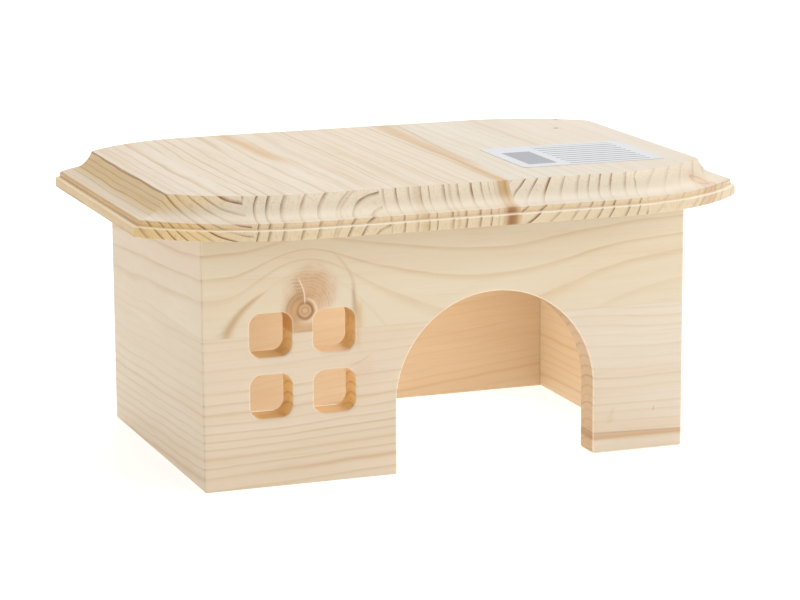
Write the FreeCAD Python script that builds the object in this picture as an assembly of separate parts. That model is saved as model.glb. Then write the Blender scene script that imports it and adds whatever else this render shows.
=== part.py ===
"""Wooden hamster house: four mitred walls without a floor, and a lift-off moulded roof board.

Sizes are in millimetres. The origin is the centre of the walls' footprint, on the surface that
the house stands on. +X runs along the house, +Y towards the back wall and +Z up; the door and
the windows are in the front wall, on the -Y side.

Every wall is cut from one board that is edge-glued from two staves, so each wall is a lower and
an upper stave, and the glue line runs round the house at one height. The roof board is glued
from staves whose grain runs from front to back. Two battens under it, across the staves, drop
inside the walls and keep the roof in its place.
"""
import FreeCAD, Part
import math
import os

from FreeCAD import Vector

# Walls
HOUSE_LENGTH = 190.0
HOUSE_DEPTH = 122.0
WALL_HEIGHT = 95.0
WALL_THICKNESS = 12.5
LOWER_STAVE_HEIGHT = 56.5  # height of the glue line between a wall's two staves
CORNER_ROUND = 1.2  # sanded rounding of the house's four upright corners
OPENING_ROUND = 0.8  # sanded rounding of the rims of the door and the windows

# Door: a half-circle on two straight jambs
DOOR_RADIUS = 39.5
DOOR_JAMB_HEIGHT = 26.5
DOOR_CENTRE_X = 18.7

# Windows: square lights with rounded corners, two columns by two rows
WINDOW_SIZE = 16.3
WINDOW_CORNER_RADIUS = 4.5
WINDOW_BAR_X = 7.9  # upright bar of wood left between the two columns
WINDOW_BAR_Z = 6.4  # level bar of wood left between the two rows
WINDOW_GROUP_X = -56.8  # centre of the upright bar
WINDOW_GROUP_Z = 45.0  # centre of the level bar

# Roof board
ROOF_OVERHANG = 23.0  # from the walls' outer face to the roof's edge, all the way round
ROOF_THICKNESS = 14.0
ROOF_ARC_RADIUS = 76.0  # plan radius of the four swept corners
ROOF_ARC_RUN = 58.5  # how far each swept corner reaches along the long edge
FIRST_STAVE_WIDTH = 36.8  # left end stave, trimmed when the board was cut to length
LAST_STAVE_WIDTH = 48.3  # right end stave; the three staves between the ends share the rest

# Moulding that is routed round the roof's edge, from the underside up
LIP_HEIGHT = 4.0
LIP_ROUND = 0.5
LEDGE_WIDTH = 1.6
STEP_HEIGHT = 2.2
STEP_ROUND = 0.9
COVE_RADIUS = 11.5

# Locating battens under the roof
BATTEN_WIDTH = 12.0
BATTEN_HEIGHT = 10.0
BATTEN_PLAY = 1.0  # gap between a batten and the wall beside it
BATTEN_ROUND = 0.8

# Blank paper label on the roof
LABEL_LENGTH = 58.0
LABEL_WIDTH = 46.0
LABEL_THICKNESS = 0.15
LABEL_CORNER_RADIUS = 2.0
LABEL_CENTRE_X = 64.0
LABEL_CENTRE_Y = -25.0

# Worked out from the sizes above
HALF_LENGTH = HOUSE_LENGTH / 2
HALF_DEPTH = HOUSE_DEPTH / 2
INNER_LENGTH = HOUSE_LENGTH - 2 * WALL_THICKNESS
INNER_DEPTH = HOUSE_DEPTH - 2 * WALL_THICKNESS
ROOF_LENGTH = HOUSE_LENGTH + 2 * ROOF_OVERHANG
ROOF_DEPTH = HOUSE_DEPTH + 2 * ROOF_OVERHANG
ROOF_TOP = WALL_HEIGHT + ROOF_THICKNESS
COVE_BOTTOM = LIP_HEIGHT + STEP_HEIGHT
COVE_HEIGHT = ROOF_THICKNESS - COVE_BOTTOM
COVE_WIDTH = math.sqrt(2 * COVE_RADIUS * COVE_HEIGHT - COVE_HEIGHT**2)
MARGIN = 5.0  # how far a cutting tool runs past the face that it cuts


def box(low, high):
    """A box between its lowest and highest corners."""
    size = [top - bottom for bottom, top in zip(low, high)]
    return Part.makeBox(*size, Vector(*low))


def prism(edges, direction):
    """A prism on a flat outline of connected edges."""
    return Part.Face(Part.Wire(Part.__sortEdges__(edges))).extrude(direction)


def polygon(points):
    """The straight edges of a closed outline."""
    following = points[1:] + points[:1]
    return [Part.makeLine(start, end) for start, end in zip(points, following)]


def rounded_box(low, high, radius, axis):
    """A box whose four edges along one axis ("X", "Y" or "Z") are rounded."""
    solid = box(low, high)
    along = {"X": Vector(1, 0, 0), "Y": Vector(0, 1, 0), "Z": Vector(0, 0, 1)}[axis]
    edges = [edge for edge in solid.Edges if edge.tangentAt(edge.FirstParameter).cross(along).Length < 1e-6]
    return solid.makeFillet(radius, edges)


# ---------------------------------------------------------------------------------------------
# Walls
# ---------------------------------------------------------------------------------------------


def wall_blank(side):
    """One wall as a mitred board, from its outer face to its inner face, without openings."""
    corners = {
        "front": [(-1, -1), (1, -1)],
        "right": [(1, -1), (1, 1)],
        "back": [(1, 1), (-1, 1)],
        "left": [(-1, 1), (-1, -1)],
    }[side]
    outer = [Vector(x * HALF_LENGTH, y * HALF_DEPTH, 0) for x, y in corners]
    inner = [Vector(x * INNER_LENGTH / 2, y * INNER_DEPTH / 2, 0) for x, y in corners]
    return prism(polygon(outer + inner[::-1]), Vector(0, 0, WALL_HEIGHT))


def sanded_envelope():
    """The outside of the assembled walls, with its upright corners rounded."""
    low = (-HALF_LENGTH, -HALF_DEPTH, 0)
    high = (HALF_LENGTH, HALF_DEPTH, WALL_HEIGHT)
    return rounded_box(low, high, CORNER_ROUND, "Z")


def door_cutter():
    """The tool that saws the door: a half-circle on straight jambs, open at the floor."""
    left = DOOR_CENTRE_X - DOOR_RADIUS
    right = DOOR_CENTRE_X + DOOR_RADIUS
    crown = Vector(DOOR_CENTRE_X, 0, DOOR_JAMB_HEIGHT + DOOR_RADIUS)
    left_spring = Vector(left, 0, DOOR_JAMB_HEIGHT)
    right_spring = Vector(right, 0, DOOR_JAMB_HEIGHT)
    left_foot = Vector(left, 0, -MARGIN)
    right_foot = Vector(right, 0, -MARGIN)
    edges = [
        Part.makeLine(left_foot, left_spring),
        Part.Arc(left_spring, crown, right_spring).toShape(),
        Part.makeLine(right_spring, right_foot),
        Part.makeLine(right_foot, left_foot),
    ]
    cutter = prism(edges, Vector(0, WALL_THICKNESS + 2 * MARGIN, 0))
    return cutter.translate(Vector(0, -HALF_DEPTH - MARGIN, 0))


def window_cutters():
    """The tools that saw the four windows."""
    cutters = []
    for column in (-1, 1):
        for row in (-1, 1):
            x = WINDOW_GROUP_X + column * (WINDOW_BAR_X + WINDOW_SIZE) / 2
            z = WINDOW_GROUP_Z + row * (WINDOW_BAR_Z + WINDOW_SIZE) / 2
            half = WINDOW_SIZE / 2
            low = (x - half, -HALF_DEPTH - MARGIN, z - half)
            high = (x + half, -HALF_DEPTH + WALL_THICKNESS + MARGIN, z + half)
            cutters.append(rounded_box(low, high, WINDOW_CORNER_RADIUS, "Y"))
    return cutters


def opening_rims(wall):
    """The edges of the door and the windows, on the front wall's outer and inner faces."""
    faces_at = (-HALF_DEPTH, -HALF_DEPTH + WALL_THICKNESS)
    rims = []
    for edge in wall.Edges:
        bounds = edge.BoundBox
        on_face = any(abs(bounds.YMin - y) < 1e-4 and abs(bounds.YMax - y) < 1e-4 for y in faces_at)
        inside = (
            bounds.XMin > -INNER_LENGTH / 2 + 1e-4
            and bounds.XMax < INNER_LENGTH / 2 - 1e-4
            and bounds.ZMax < WALL_HEIGHT - 1e-4
            and bounds.ZMax > 1e-4
        )
        if on_face and inside:
            rims.append(edge)
    return rims


def front_wall():
    """The front wall with its door and windows sawn out and their rims sanded."""
    wall = wall_blank("front").cut(door_cutter())
    for cutter in window_cutters():
        wall = wall.cut(cutter)
    return wall.makeFillet(OPENING_ROUND, opening_rims(wall))


def band(low_z, high_z, low_x=-ROOF_LENGTH, high_x=ROOF_LENGTH):
    """A region that is cut off by two heights and, where given, by two places along X."""
    return box((low_x, -ROOF_DEPTH, low_z), (high_x, ROOF_DEPTH, high_z))


def wall_staves():
    """Every stave of the four walls, by name.

    The door parts the front wall's lower stave in two: the piece under the windows and the
    door's right jamb.
    """
    envelope = sanded_envelope()
    lower = band(-MARGIN, LOWER_STAVE_HEIGHT)
    upper = band(LOWER_STAVE_HEIGHT, WALL_HEIGHT + MARGIN)
    staves = {}
    for side in ("back", "left", "right"):
        wall = wall_blank(side).common(envelope)
        staves[side + "_wall_lower_stave"] = wall.common(lower)
        staves[side + "_wall_upper_stave"] = wall.common(upper)
    wall = front_wall().common(envelope)
    window_side = band(-MARGIN, LOWER_STAVE_HEIGHT, high_x=DOOR_CENTRE_X)
    jamb_side = band(-MARGIN, LOWER_STAVE_HEIGHT, low_x=DOOR_CENTRE_X)
    staves["front_wall_lower_stave"] = wall.common(window_side)
    staves["front_wall_door_jamb"] = wall.common(jamb_side)
    staves["front_wall_upper_stave"] = wall.common(upper)
    return staves


# ---------------------------------------------------------------------------------------------
# Roof
# ---------------------------------------------------------------------------------------------


def moulded_section(reach):
    """The roof board's section in the XZ plane, from x = 0 out to its moulded edge at x = reach.

    From the underside up: the upright lip, a narrow ledge, a low step with a rounded top, and
    the cove, a concave arc that starts level and ends steeply at the sharp upper arris.
    """
    step_x = reach - LEDGE_WIDTH
    cove_x = step_x - STEP_ROUND
    arris_x = cove_x - COVE_WIDTH
    corner = 1 - math.sqrt(0.5)
    cove_angle = math.asin(COVE_WIDTH / COVE_RADIUS) / 2
    cove_middle = Vector(
        cove_x - COVE_RADIUS * math.sin(cove_angle),
        0,
        COVE_BOTTOM + COVE_RADIUS * (1 - math.cos(cove_angle)),
    )
    lip_start = Vector(reach - LIP_ROUND, 0, 0)
    lip_middle = Vector(reach - LIP_ROUND * corner, 0, LIP_ROUND * corner)
    lip_end = Vector(reach, 0, LIP_ROUND)
    ridge_start = Vector(reach, 0, LIP_HEIGHT - LIP_ROUND)
    ridge_middle = Vector(reach - LIP_ROUND * corner, 0, LIP_HEIGHT - LIP_ROUND * corner)
    ridge_end = Vector(reach - LIP_ROUND, 0, LIP_HEIGHT)
    step_foot = Vector(step_x, 0, LIP_HEIGHT)
    step_start = Vector(step_x, 0, COVE_BOTTOM - STEP_ROUND)
    step_middle = Vector(step_x - STEP_ROUND * corner, 0, COVE_BOTTOM - STEP_ROUND * corner)
    cove_start = Vector(cove_x, 0, COVE_BOTTOM)
    arris = Vector(arris_x, 0, ROOF_THICKNESS)
    return Part.Face(
        Part.Wire(
            [
                Part.makeLine(Vector(0, 0, 0), lip_start),
                Part.Arc(lip_start, lip_middle, lip_end).toShape(),
                Part.makeLine(lip_end, ridge_start),
                Part.Arc(ridge_start, ridge_middle, ridge_end).toShape(),
                Part.makeLine(ridge_end, step_foot),
                Part.makeLine(step_foot, step_start),
                Part.Arc(step_start, step_middle, cove_start).toShape(),
                Part.Arc(cove_start, cove_middle, arris).toShape(),
                Part.makeLine(arris, Vector(0, 0, ROOF_THICKNESS)),
                Part.makeLine(Vector(0, 0, ROOF_THICKNESS), Vector(0, 0, 0)),
            ]
        )
    )


def turned(shape, degrees):
    """A copy of a shape, turned about the Z axis."""
    copy = shape.copy()
    copy.rotate(Vector(0, 0, 0), Vector(0, 0, 1), degrees)
    return copy


def end_moulded_board():
    """A straight board, as long as the roof, with the moulding along its two short edges."""
    half = moulded_section(ROOF_LENGTH / 2).extrude(Vector(0, ROOF_DEPTH, 0))
    half.translate(Vector(0, -ROOF_DEPTH / 2, 0))
    return half.fuse(turned(half, 180)).removeSplitter()


def side_moulded_board():
    """A board with the moulding along its two long edges and round its four swept corners.

    It runs past the roof's short edges, where the end-moulded board cuts it off. Each corner is
    a quarter turn about its own centre, and the back half is made first: its pieces are cut off
    at the board's middle line, or a plain strip fills the board up to that line.
    """
    arc_x = ROOF_LENGTH / 2 - ROOF_ARC_RUN
    arc_y = ROOF_DEPTH / 2 - ROOF_ARC_RADIUS
    edge_run = turned(moulded_section(ROOF_ARC_RADIUS), 90).extrude(Vector(2 * arc_x, 0, 0))
    edge_run.translate(Vector(-arc_x, arc_y, 0))
    swept_corner = moulded_section(ROOF_ARC_RADIUS).revolve(Vector(0, 0, 0), Vector(0, 0, 1), 90)
    swept_corner.translate(Vector(arc_x, arc_y, 0))
    mirrored_corner = swept_corner.mirror(Vector(0, 0, 0), Vector(1, 0, 0))
    reach = ROOF_LENGTH / 2 + MARGIN
    half = edge_run.multiFuse([swept_corner, mirrored_corner])
    half = half.common(box((-reach, 0, -MARGIN), (reach, ROOF_DEPTH, ROOF_THICKNESS + MARGIN)))
    if arc_y > 0:
        half = half.fuse(box((-reach, 0, 0), (reach, arc_y, ROOF_THICKNESS)))
    return half.fuse(half.mirror(Vector(0, 0, 0), Vector(0, 1, 0))).removeSplitter()


def roof_staves():
    """The staves of the roof board, by name, from left to right."""
    board = side_moulded_board().common(end_moulded_board())
    board.translate(Vector(0, 0, WALL_HEIGHT))
    names = ("left_end", "left", "middle", "right", "right_end")
    stave_width = (ROOF_LENGTH - FIRST_STAVE_WIDTH - LAST_STAVE_WIDTH) / (len(names) - 2)
    first_joint = -ROOF_LENGTH / 2 + FIRST_STAVE_WIDTH
    joints = [first_joint + index * stave_width for index in range(len(names) - 1)]
    limits = [-ROOF_LENGTH] + joints + [ROOF_LENGTH]
    staves = {}
    for name, start, end in zip(names, limits, limits[1:]):
        region = band(WALL_HEIGHT - MARGIN, ROOF_TOP + MARGIN, start, end)
        staves["roof_" + name + "_stave"] = board.common(region)
    return staves


def batten(side):
    """One locating batten: side is 1 for the back wall's and -1 for the front wall's."""
    half_length = INNER_LENGTH / 2 - BATTEN_PLAY
    outer_y = INNER_DEPTH / 2 - BATTEN_PLAY
    low = (-half_length, outer_y - BATTEN_WIDTH, WALL_HEIGHT - BATTEN_HEIGHT)
    high = (half_length, outer_y, WALL_HEIGHT)
    bar = box(low, high)
    lower_edges = [edge for edge in bar.Edges if edge.BoundBox.ZMax < WALL_HEIGHT - BATTEN_HEIGHT / 2]
    bar = bar.makeFillet(BATTEN_ROUND, lower_edges)
    if side < 0:
        bar = turned(bar, 180)
    return bar


def label():
    """The blank paper label that is stuck on the roof."""
    low = (LABEL_CENTRE_X - LABEL_LENGTH / 2, LABEL_CENTRE_Y - LABEL_WIDTH / 2, ROOF_TOP)
    high = (LABEL_CENTRE_X + LABEL_LENGTH / 2, LABEL_CENTRE_Y + LABEL_WIDTH / 2, ROOF_TOP + LABEL_THICKNESS)
    return rounded_box(low, high, LABEL_CORNER_RADIUS, "Z")


def single_solid(shape, name):
    """The one solid of a shape that came out of a cut.

    A piece that isn't one solid is a modelling mistake, so it stops the script.
    """
    solids = shape.Solids
    if len(solids) != 1:
        raise ValueError(f"{name} has {len(solids)} solids")
    return solids[0]


def main():
    """Build every piece and write it to parts/."""
    pieces = {}
    pieces.update(wall_staves())
    pieces.update(roof_staves())
    pieces["front_locating_batten"] = batten(-1)
    pieces["back_locating_batten"] = batten(1)
    pieces["roof_label"] = label()
    os.makedirs("parts", exist_ok=True)
    for name, shape in pieces.items():
        solid = single_solid(shape, name)
        solid.exportStep(f"parts/{name}.step")
        print(f"{name}: {solid.Volume / 1000:.2f} cm3, valid {solid.isValid()}")


main()
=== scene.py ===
"""Visual model of a wooden hamster house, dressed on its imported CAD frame.

The house is sanded, untreated spruce. Every stave keeps its CAD solid and gets a timber of its
own: the yearly growth of that stave, written as a solid pattern, so that face grain, end grain,
mouldings and sawn openings all cut through the same rings. Lengths inside the materials are
millimetres, and everything else is in metres.
"""
import logging
import math
from dataclasses import dataclass
from enum import Enum
from functools import cached_property
from typing import Union

import bmesh
import bpy
from mathutils import Matrix, Vector

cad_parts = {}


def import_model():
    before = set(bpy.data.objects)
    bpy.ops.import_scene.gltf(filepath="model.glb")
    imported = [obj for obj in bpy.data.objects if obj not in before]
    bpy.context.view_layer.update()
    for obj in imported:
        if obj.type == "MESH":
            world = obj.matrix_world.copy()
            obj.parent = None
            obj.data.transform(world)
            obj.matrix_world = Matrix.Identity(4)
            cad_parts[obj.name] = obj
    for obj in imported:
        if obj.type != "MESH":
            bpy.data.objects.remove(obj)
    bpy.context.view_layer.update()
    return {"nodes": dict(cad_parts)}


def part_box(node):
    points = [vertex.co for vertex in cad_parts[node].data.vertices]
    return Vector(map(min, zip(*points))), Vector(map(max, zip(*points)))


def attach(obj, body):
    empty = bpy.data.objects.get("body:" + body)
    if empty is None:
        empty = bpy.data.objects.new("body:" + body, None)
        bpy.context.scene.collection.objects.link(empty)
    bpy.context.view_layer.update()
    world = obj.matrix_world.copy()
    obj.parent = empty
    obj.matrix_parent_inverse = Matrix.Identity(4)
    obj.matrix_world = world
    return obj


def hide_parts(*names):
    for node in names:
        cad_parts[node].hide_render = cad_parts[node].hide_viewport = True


LOG = logging.getLogger("hamster_house")
MM = 0.001
WHITE = (1.0, 1.0, 1.0)

Colour = tuple[float, float, float]
Pair = tuple[float, float]
Place = tuple[float, float, float]
Margins = tuple[float, float, float, float]


# ---- Writing materials ----


class Signal:
    """A value on its way through a material's nodes. Arithmetic on it adds math nodes."""

    def __init__(self, recipe: "Recipe", socket: bpy.types.NodeSocket) -> None:
        """Wrap an output socket of a recipe's nodes."""
        self.recipe = recipe
        self.socket = socket

    def math(self, operation: str, *terms: "Term") -> "Signal":
        """A math node's result for this value and further terms."""
        return self.recipe.math(operation, self, *terms)

    def __add__(self, other: "Term") -> "Signal":
        """Sum with another term."""
        return self.math("ADD", other)

    def __sub__(self, other: "Term") -> "Signal":
        """Difference from another term."""
        return self.math("SUBTRACT", other)

    def __rsub__(self, other: float) -> "Signal":
        """Difference of a number and this value."""
        return self.recipe.math("SUBTRACT", other, self)

    def __mul__(self, other: "Term") -> "Signal":
        """Product with another term."""
        return self.math("MULTIPLY", other)

    def __truediv__(self, other: "Term") -> "Signal":
        """Quotient by another term."""
        return self.math("DIVIDE", other)

    def __pow__(self, power: float) -> "Signal":
        """This value raised to a power."""
        return self.math("POWER", power)

    def __abs__(self) -> "Signal":
        """This value without its sign."""
        return self.math("ABSOLUTE")

    def ease(self, low: float, high: float) -> "Signal":
        """Rise smoothly from 0 to 1 as this value goes from low to high.

        Args:
            low: Where the result leaves 0.
            high: Where the result reaches 1; it may lie below low.

        Returns:
            The eased value.
        """
        limits = (low, high, 0.0, 1.0) if low < high else (high, low, 1.0, 0.0)
        inputs = dict(zip(("Value", "From Min", "From Max", "To Min", "To Max"), (self, *limits)))
        return self.recipe.signal("ShaderNodeMapRange", inputs, interpolation_type="SMOOTHSTEP")

    def within(self, low: float, high: float, fade: float) -> "Signal":
        """1 between two limits and 0 outside them, with a fade across each."""
        return self.ease(low - fade, low + fade) * self.ease(high + fade, high - fade)

    def hump(self, half_width: float) -> "Signal":
        """A bell that is 1 where this value is zero and about a third at the half width."""
        share = self / half_width
        return (share * share * -1.0).math("EXPONENT")

    def count(self, marks: tuple[float, ...]) -> "Signal":
        """Count marks along this value, with a steady rise from each mark to the next.

        Args:
            marks: Rising places at which the count is 0, 1, 2 and so on.

        Returns:
            The count, held still before the first and after the last mark.
        """
        low, high, last = marks[0], marks[-1], len(marks) - 1
        node = self.recipe.node("ShaderNodeFloatCurve", {"Value": (self - low) / (high - low)})
        curve = node.mapping.curves[0]
        while len(curve.points) < len(marks):
            curve.points.new(0.5, 0.5)
        for index, (point, mark) in enumerate(zip(curve.points, marks)):
            point.location = ((mark - low) / (high - low), index / last)
            point.handle_type = "VECTOR"
        node.mapping.extend = "HORIZONTAL"
        node.mapping.update()
        return Signal(self.recipe, node.outputs[0]) * float(last)


Term = Union[Signal, float]
Tone = Union[Signal, Colour]
Point = tuple[Signal, Signal, Signal]
Inputs = dict[Union[str, int], Union[Term, Tone]]


def distance(aside: Signal, above: Signal) -> Signal:
    """Length of the line that has these two parts."""
    return (aside * aside + above * above).math("SQRT")


class Recipe:
    """Writes the nodes of one material, and lays its colours over one another."""

    def __init__(self, name: str, colour: Tone = WHITE) -> None:
        """Start a material that holds a Principled shader.

        Args:
            name: The material's name.
            colour: The first coat, which other colours go over.
        """
        self.material = bpy.data.materials.new(name)
        self.material.use_nodes = True
        self.tree = self.material.node_tree
        self.shader = next(n for n in self.tree.nodes if n.type == "BSDF_PRINCIPLED")
        self.colour = colour

    def feed(self, socket: bpy.types.NodeSocket, value: Union[Term, Tone]) -> None:
        """Link a signal to an input, or set the input to a constant.

        Args:
            socket: The input.
            value: A signal, a number or a colour.
        """
        if isinstance(value, Signal):
            self.tree.links.new(value.socket, socket)
        else:
            socket.default_value = (*value, 1.0) if isinstance(value, tuple) else value

    def dial(self, name: str, value: Union[Term, Tone]) -> None:
        """Link or set one of the shader's own inputs."""
        self.feed(self.shader.inputs[name], value)

    def node(self, kind: str, inputs: Inputs, **settings: object) -> bpy.types.Node:
        """Add a node.

        Args:
            kind: The node's type name.
            inputs: What goes into its inputs, by their names or numbers.
            **settings: Properties to set on it.

        Returns:
            The new node.
        """
        node = self.tree.nodes.new(kind)
        for name, value in settings.items():
            setattr(node, name, value)
        for name, value in inputs.items():
            self.feed(node.inputs[name], value)
        return node

    def signal(
        self, kind: str, inputs: Inputs, output: Union[str, int] = 0, **settings: object
    ) -> Signal:
        """Add a node and take one of its outputs."""
        return Signal(self, self.node(kind, inputs, **settings).outputs[output])

    def math(self, operation: str, *terms: Term) -> Signal:
        """A math node's result for its terms, in order."""
        return self.signal("ShaderNodeMath", dict(enumerate(terms)), operation=operation)

    def vector(self, *terms: Term) -> Signal:
        """Three terms joined into a vector."""
        return self.signal("ShaderNodeCombineXYZ", dict(enumerate(terms)))

    def split(self, vector: Signal) -> Point:
        """A vector's x, y and z."""
        parts = self.node("ShaderNodeSeparateXYZ", {0: vector}).outputs
        return tuple(Signal(self, part) for part in parts)

    @cached_property
    def place(self) -> Point:
        """The shaded point's x, y and z on the piece, in millimetres."""
        inputs = {0: self.signal("ShaderNodeTexCoord", {}, "Object"), "Scale": 1 / MM}
        return self.split(self.signal("ShaderNodeVectorMath", inputs, operation="SCALE"))

    @cached_property
    def facing(self) -> Point:
        """The x, y and z of the surface's normal on the piece."""
        return self.split(self.signal("ShaderNodeTexCoord", {}, "Normal"))

    def noise(self, x: Term, y: Term, z: Term, detail: float = 1.0) -> Signal:
        """Smooth noise from -1 to 1, with a grain of one unit and some finer octaves."""
        inputs = {"Vector": self.vector(x, y, z), "Scale": 1.0, "Detail": detail, "Roughness": 0.55}
        return self.signal("ShaderNodeTexNoise", inputs) * 2.0 - 1.0

    def random(self, value: Term, seed: float) -> Signal:
        """One steady random number, from 0 to 1, for each whole value; the seed parts two uses."""
        inputs = {"Vector": self.vector(value, seed, 0.0)}
        return self.signal("ShaderNodeTexWhiteNoise", inputs, "Value", noise_dimensions="2D")

    def mix(self, amount: Term, first: Tone, second: Tone, mode: str = "MIX") -> Signal:
        """Two colours blended, with the amount as the share of the second, from 0 to 1."""
        inputs = {0: amount, 6: first, 7: second}
        return self.signal("ShaderNodeMix", inputs, 2, data_type="RGBA", blend_type=mode)

    def paint(self, amount: Term, colour: Tone) -> None:
        """Lay a share of a colour over what is there."""
        self.colour = self.mix(amount, self.colour, colour)

    def glaze(self, amount: Term, tint: Tone) -> None:
        """Multiply what is there by a tint, where the amount says so."""
        self.paint(amount, self.mix(1.0, self.colour, tint, "MULTIPLY"))

    def relief(self, height: Signal, depth: float, strength: float = 0.5) -> None:
        """Give the surface fine relief from a height of 0 to 1, at a depth in metres."""
        inputs = {"Strength": strength, "Distance": depth, "Height": height}
        self.dial("Normal", self.signal("ShaderNodeBump", inputs))


# ---- Marks in the wood ----


@dataclass(frozen=True)
class Streak:
    """A band of darker, resinous wood that follows the growth rings.

    Its centre and half width are in millimetres of growth, its drift is how far it leaves the
    rings for each millimetre along the grain, and along is the part of the grain it covers.
    """

    centre: float
    half_width: float
    strength: float
    drift: float = 0.0
    along: Pair = (-300.0, 300.0)
    fade: float = 15.0
    colour: Colour = (0.56, 0.35, 0.16)

    def lay(self, recipe: Recipe, growth: Signal, along: Signal) -> None:
        """Lay the streak over the wood, from the growth and the place along the grain."""
        shape = (growth - self.centre + along * self.drift).hump(self.half_width)
        recipe.paint(shape * self.strength * along.within(*self.along, self.fade), self.colour)


class Mark:
    """Something that lies at one place in a stave's wood."""

    def lay(self, recipe: Recipe) -> None:
        """Lay the mark over the wood."""
        raise NotImplementedError


@dataclass(frozen=True)
class Stroke(Mark):
    """A brush of colour on a wall's front, from (x, z) along its heading in degrees.

    A stroke curves by its bend, the sideways drift at 1 mm of length, which grows with length
    squared. It thins from its first half width to its last.
    """

    x: float
    z: float
    heading: float
    length: float
    half_widths: Pair
    strength: float
    bend: float = 0.0
    fade: float = 2.0
    colour: Colour = (0.42, 0.26, 0.14)
    front: Pair = (-40.0, -50.0)

    def lay(self, recipe: Recipe) -> None:
        """Lay the stroke over the wood.

        Args:
            recipe: The stave's material.
        """
        x, y, z = recipe.place
        turn = math.radians(self.heading)
        cosine, sine = math.cos(turn), math.sin(turn)
        along = (x - self.x) * cosine + (z - self.z) * sine
        across = (z - self.z) * cosine - (x - self.x) * sine - along * along * self.bend
        first, last = self.half_widths
        share = (along / self.length).math("MAXIMUM", 0.0).math("MINIMUM", 1.0)
        amount = (across / (share * (last - first) + first)).hump(1.0) * self.strength
        amount = amount * along.within(0.0, self.length, self.fade)
        recipe.paint(amount * y.ease(*self.front), self.colour)


@dataclass(frozen=True)
class PinKnot(Mark):
    """A dark knot no wider than a pin, on a face that looks up: its place and radius."""

    x: float
    y: float
    radius: float
    halo: Colour = (0.62, 0.41, 0.20)
    core: Colour = (0.16, 0.10, 0.06)

    def lay(self, recipe: Recipe) -> None:
        """Lay the knot over the wood.

        Args:
            recipe: The stave's material.
        """
        x, y, z = recipe.place
        away = distance(x - self.x, y - self.y)
        recipe.paint(away.ease(self.radius * 3.5, 0.0) * 0.4, self.halo)
        recipe.paint(away.ease(self.radius, self.radius * 0.6), self.core)


@dataclass(frozen=True)
class Burl(Mark):
    """A small swirl of orange wood: its centre and radius."""

    centre: Place
    radius: float
    swirl: Colour = (0.66, 0.37, 0.17)
    edge: Colour = (0.46, 0.26, 0.12)
    heart: Colour = (0.80, 0.62, 0.40)

    def lay(self, recipe: Recipe) -> None:
        """Lay the swirl over the wood.

        Args:
            recipe: The stave's material.
        """
        across, ahead, above = (term - middle for term, middle in zip(recipe.place, self.centre))
        square = across * across * 0.5 + ahead * ahead + above * above
        waver = recipe.noise(*(term / 3.0 for term in recipe.place), 2.0) * 1.2
        away = square.math("SQRT") + waver
        recipe.paint(away.ease(self.radius * 1.9, 0.0) * 0.7, self.swirl)
        recipe.paint((away - self.radius * 0.8).hump(0.5) * 0.7, self.edge)
        recipe.paint(away.hump(1.0) * 0.5, self.heart)


# ---- Growth ----


@dataclass(frozen=True)
class House:
    """Sizes that the materials need, in millimetres. The frame's nodes give the first four."""

    half_length: float
    half_depth: float
    glue_height: float
    height: float
    wall: float = 12.5
    roof: float = 14.0
    lip_top: float = 4.0
    cove_foot: float = 6.2
    windows: Pair = (-56.8, 45.0)
    windows_reach: float = 23.0

    @classmethod
    def read(cls) -> "House":
        """Read the sizes from the frame's own nodes.

        Returns:
            The house's sizes.
        """
        low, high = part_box("left_wall_lower_stave")
        _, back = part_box("back_wall_upper_stave")
        return cls(-low.x / MM, back.y / MM, high.z / MM, back.z / MM)


class Growth:
    """How the yearly rings lie in a stave."""

    def measure(self, recipe: "Timber") -> Signal:
        """Millimetres of growth at the shaded point."""
        raise NotImplementedError

    def paint(self, recipe: Recipe) -> None:
        """Paint what the growth itself colours. Most growth colours nothing."""


@dataclass(frozen=True)
class RoofGrowth(Growth):
    """Rings about a pith that runs from front to back, at pith = (x, z)."""

    pith: Pair
    seed: float

    def measure(self, recipe: "Timber") -> Signal:
        """Distance from the pith, which wanders a little along the grain.

        Args:
            recipe: The stave's material.

        Returns:
            The growth.
        """
        x, y, z = recipe.place
        wander = recipe.noise(y / 70.0, self.seed, 0.5) * 2.2
        waver = recipe.noise(x / 16.0, y / 90.0, z / 16.0 + self.seed, 2.0) * 0.8
        ripple = recipe.noise(x / 9.0, y / 26.0, self.seed, 1.0) * 0.45
        return distance(x - self.pith[0] + wander, z - self.pith[1]) + waver + ripple


@dataclass(frozen=True)
class BattenGrowth(Growth):
    """Rings about a pith that runs along the house, at pith = (y, z)."""

    pith: Pair

    def measure(self, recipe: "Timber") -> Signal:
        """Distance from the pith, made a little uneven.

        Args:
            recipe: The stave's material.

        Returns:
            The growth.
        """
        x, y, z = recipe.place
        waver = recipe.noise(x / 60.0, y / 10.0, z / 10.0, 2.0) * 0.7
        return distance(y - self.pith[0], z - self.pith[1]) + waver


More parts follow.
